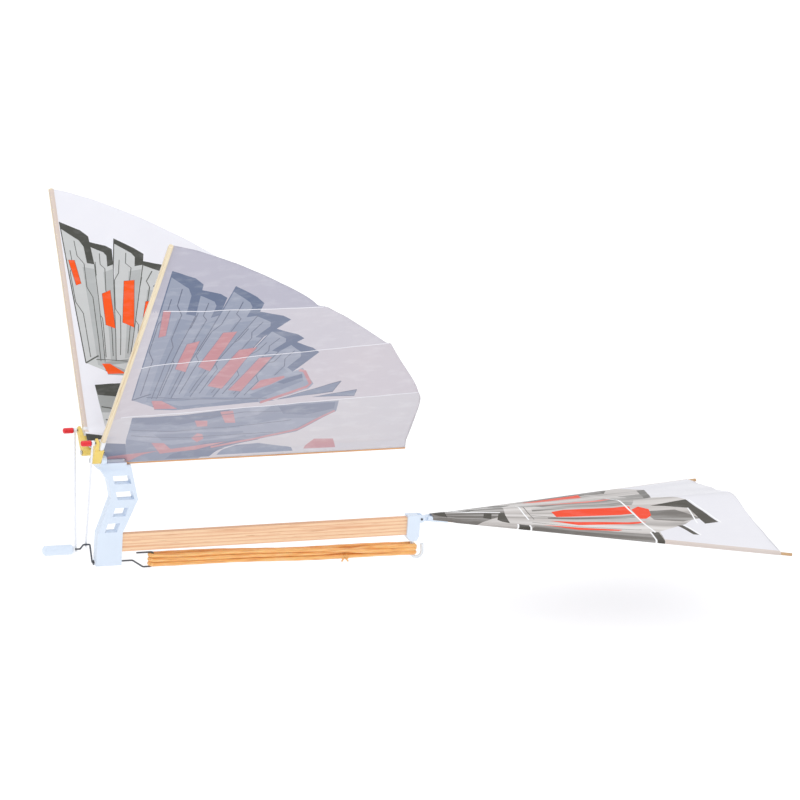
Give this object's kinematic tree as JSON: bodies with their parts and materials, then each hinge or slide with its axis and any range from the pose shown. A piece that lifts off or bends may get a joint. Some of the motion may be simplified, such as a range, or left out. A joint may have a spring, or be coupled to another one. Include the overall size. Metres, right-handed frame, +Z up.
{
  "type": "rubber powered ornithopter",
  "caption": "Toy flapping-wing aircraft with a hand crank at the nose, twisted rubber motor, two hinged film wings and a film tail.",
  "frame": {"origin": "middle of the front frame's foot, 0.5 mm behind its front edge", "axes": "+X aft from the nose to the tail, +Y to starboard, +Z up; both wings raised as stored"},
  "size_m": [0.3943, 0.183, 0.1997],
  "materials": {
    "pale_plastic": "moulded, satin",
    "white_plastic": "moulded, glossy",
    "yellow_plastic": "moulded, satin",
    "red_cap": "soft cap, glossy",
    "stick_wood": "sanded strip wood, bare",
    "keel_wood": "thin round stick, bare",
    "spar_wood": "thin round stick, bare",
    "dark_wire": "bent spring wire",
    "band_rubber": "stretched amber rubber",
    "wing_foil": "thin printed film"
  },
  "bodies": {
    "airframe": {"front_frame": "pale_plastic", "shaft_bush": "white_plastic", "motor_stick": "stick_wood", "keel_stick": "keel_wood", "rear_bracket": "pale_plastic", "rear_hook": "white_plastic", "tail_pivot_pin": "dark_wire", "rubber_band": "band_rubber", "rubber_knot": "band_rubber", "hinge_pin_left": "dark_wire", "hinge_pin_right": "dark_wire"},
    "crank": {"crank_wire": "dark_wire", "thrust_washer": "dark_wire", "grip_collar": "white_plastic"},
    "grip": {"crank_grip": "pale_plastic"},
    "left_wing": {"wing_holder_left": "yellow_plastic", "spar_sleeve_left": "white_plastic", "wing_spar_left": "spar_wood", "rod_pin_left": "dark_wire", "pin_cap_left": "red_cap", "wing_film_left": "wing_foil"},
    "right_wing": {"wing_holder_right": "yellow_plastic", "spar_sleeve_right": "white_plastic", "wing_spar_right": "spar_wood", "rod_pin_right": "dark_wire", "pin_cap_right": "red_cap", "wing_film_right": "wing_foil"},
    "left_rod": {"con_rod_left": "white_plastic"},
    "right_rod": {"con_rod_right": "white_plastic"},
    "tail": {"tail_holder": "white_plastic", "tail_stick_left": "spar_wood", "tail_stick_right": "spar_wood", "tail_film": "wing_foil"}
  },
  "joints": [
    {"name": "left_wing_flap", "type": "hinge", "parent": "airframe", "child": "left_wing", "pos_m": [-0.0058, -0.0068, 0.059], "axis": [1, 0, 0], "range_deg": [0, 101.83], "deforming": ["wing_film_left"]},
    {"name": "right_wing_flap", "type": "hinge", "parent": "airframe", "child": "right_wing", "pos_m": [-0.0058, 0.0068, 0.059], "axis": [-1, 0, 0], "range_deg": [0, 86.63], "deforming": ["wing_film_right"]},
    {"name": "crank_turn", "type": "hinge", "parent": "airframe", "child": "crank", "pos_m": [0, 0, 0.0014], "axis": [1, 0, 0], "continuous": true, "deforming": ["rubber_band"]},
    {"name": "grip_spin", "type": "hinge", "parent": "crank", "child": "grip", "pos_m": [-0.0225, -0.00338, 0.01039], "axis": [1, 0, 0], "continuous": true},
    {"name": "left_rod_swing", "type": "hinge", "parent": "left_wing", "child": "left_rod", "pos_m": [-0.01, -0.01244, 0.07016], "axis": [-1, 0, 0], "range_deg": [0, 101.3]},
    {"name": "right_rod_swing", "type": "hinge", "parent": "right_wing", "child": "right_rod", "pos_m": [-0.01, 0.01516, 0.06829], "axis": [1, 0, 0], "range_deg": [0, 90.84]},
    {"name": "tail_tilt", "type": "hinge", "parent": "airframe", "child": "tail", "pos_m": [0.1784, 0, 0.0154], "axis": [0, 1, 0], "range_deg": [-15, 15]}
  ],
  "couplings": [
    {"joint": "right_wing_flap", "follows": "left_wing_flap", "ratio": 0.85073},
    {"joint": "crank_turn", "follows": "left_wing_flap", "ratio": 1.7033},
    {"joint": "left_rod_swing", "follows": "left_wing_flap", "ratio": 0.99479},
    {"joint": "right_rod_swing", "follows": "left_wing_flap", "ratio": 0.89213}
  ]
}
